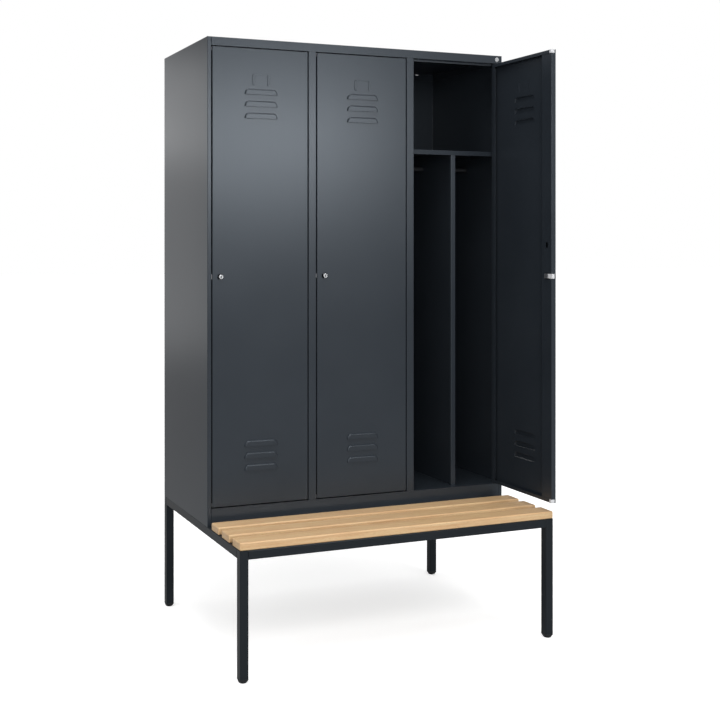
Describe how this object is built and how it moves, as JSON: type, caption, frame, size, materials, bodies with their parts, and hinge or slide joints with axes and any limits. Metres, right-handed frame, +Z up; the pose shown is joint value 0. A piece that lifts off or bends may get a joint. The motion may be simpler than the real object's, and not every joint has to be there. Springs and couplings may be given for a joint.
{
  "type": "locker with bench",
  "caption": "Steel wardrobe locker with hinged louvred doors, key locks, hat shelves and coat rails, on a square tube frame that carries a slatted wooden bench in front.",
  "frame": {"origin": "middle of the base of the bounding box of the stored pose, with the right door open by 90 degrees", "axes": "+Z up, -Y to the front with the doors and the bench, +X to the right seen from the front"},
  "size_m": [1.2, 0.8546, 2.1253],
  "materials": {
    "coat": "satin anthracite powder coat with a fine texture",
    "frame_coat": "satin dark anthracite powder coat",
    "beech": "clear lacquered beech",
    "white_plastic": "satin white",
    "black_plastic": "matt black",
    "chrome": "polished",
    "zinc": "zinc plated"
  },
  "bodies": {
    "locker": {"side_panel_left": "coat", "side_panel_right": "coat", "top_panel": "coat", "rail_cap": "zinc", "floor_panel": "coat", "back_panel": "coat", "partition_1": "coat", "partition_2": "coat", "hat_shelf_1": "coat", "divider_1": "coat", "coat_rail_1": "zinc", "hat_shelf_2": "coat", "divider_2": "coat", "coat_rail_2": "zinc", "hat_shelf_3": "coat", "divider_3": "coat", "coat_rail_3": "zinc", "leg_front_left": "frame_coat", "leg_front_right": "frame_coat", "leg_back_left": "frame_coat", "leg_back_right": "frame_coat", "foot_front_left": "black_plastic", "foot_front_right": "black_plastic", "foot_back_left": "black_plastic", "foot_back_right": "black_plastic", "rail_front": "frame_coat", "rail_middle": "frame_coat", "rail_rear": "frame_coat", "rail_side_left": "frame_coat", "rail_side_right": "frame_coat", "bench_slat_1": "beech", "bench_slat_2": "beech", "bench_slat_3": "beech"},
    "door_1": {"door_panel_1": "coat", "door_stiffener_1": "coat", "lock_housing_1": "zinc", "buffer_top_1": "white_plastic", "buffer_bottom_1": "white_plastic", "hinge_pin_top_1": "zinc", "hinge_pin_bottom_1": "zinc"},
    "lock_1": {"lock_plug_1": "chrome"},
    "bolt_1": {"latch_bolt_1": "white_plastic"},
    "door_2": {"door_panel_2": "coat", "door_stiffener_2": "coat", "lock_housing_2": "zinc", "buffer_top_2": "white_plastic", "buffer_bottom_2": "white_plastic", "hinge_pin_top_2": "zinc", "hinge_pin_bottom_2": "zinc"},
    "lock_2": {"lock_plug_2": "chrome"},
    "bolt_2": {"latch_bolt_2": "white_plastic"},
    "door_3": {"door_panel_3": "coat", "door_stiffener_3": "coat", "lock_housing_3": "zinc", "buffer_top_3": "white_plastic", "buffer_bottom_3": "white_plastic", "hinge_pin_top_3": "zinc", "hinge_pin_bottom_3": "zinc"},
    "lock_3": {"lock_plug_3": "chrome"},
    "bolt_3": {"latch_bolt_3": "white_plastic"}
  },
  "joints": [
    {"name": "door_1_swing", "type": "hinge", "parent": "locker", "child": "door_1", "pos_m": [-0.225, -0.0682, 1.2918], "axis": [0, 0, 1], "range_deg": [0, 110]},
    {"name": "lock_1_turn", "type": "hinge", "parent": "door_1", "child": "lock_1", "pos_m": [-0.5522, -0.0727, 1.2916], "axis": [0, 1, 0], "range_deg": [0, 90]},
    {"name": "bolt_1_slide", "type": "slide", "parent": "door_1", "child": "bolt_1", "axis": [-1, 0, 0], "range_m": [0, 0.008]},
    {"name": "door_2_swing", "type": "hinge", "parent": "locker", "child": "door_2", "pos_m": [0.175, -0.0682, 1.2918], "axis": [0, 0, 1], "range_deg": [0, 110]},
    {"name": "lock_2_turn", "type": "hinge", "parent": "door_2", "child": "lock_2", "pos_m": [-0.1522, -0.0727, 1.2916], "axis": [0, 1, 0], "range_deg": [0, 90]},
    {"name": "bolt_2_slide", "type": "slide", "parent": "door_2", "child": "bolt_2", "axis": [-1, 0, 0], "range_m": [0, 0.008]},
    {"name": "door_3_swing", "type": "hinge", "parent": "locker", "child": "door_3", "pos_m": [0.575, -0.0682, 1.2918], "axis": [0, 0, 1], "range_deg": [-90, 20]},
    {"name": "lock_3_turn", "type": "hinge", "parent": "door_3", "child": "lock_3", "pos_m": [0.5795, -0.3954, 1.2916], "axis": [-1, 0, 0], "range_deg": [0, 90]},
    {"name": "bolt_3_slide", "type": "slide", "parent": "door_3", "child": "bolt_3", "axis": [0, -1, 0], "range_m": [0, 0.008]}
  ],
  "couplings": [
    {"joint": "bolt_1_slide", "follows": "lock_1_turn", "m_per_rad": 0.00509},
    {"joint": "bolt_2_slide", "follows": "lock_2_turn", "m_per_rad": 0.00509},
    {"joint": "bolt_3_slide", "follows": "lock_3_turn", "m_per_rad": 0.00509}
  ]
}
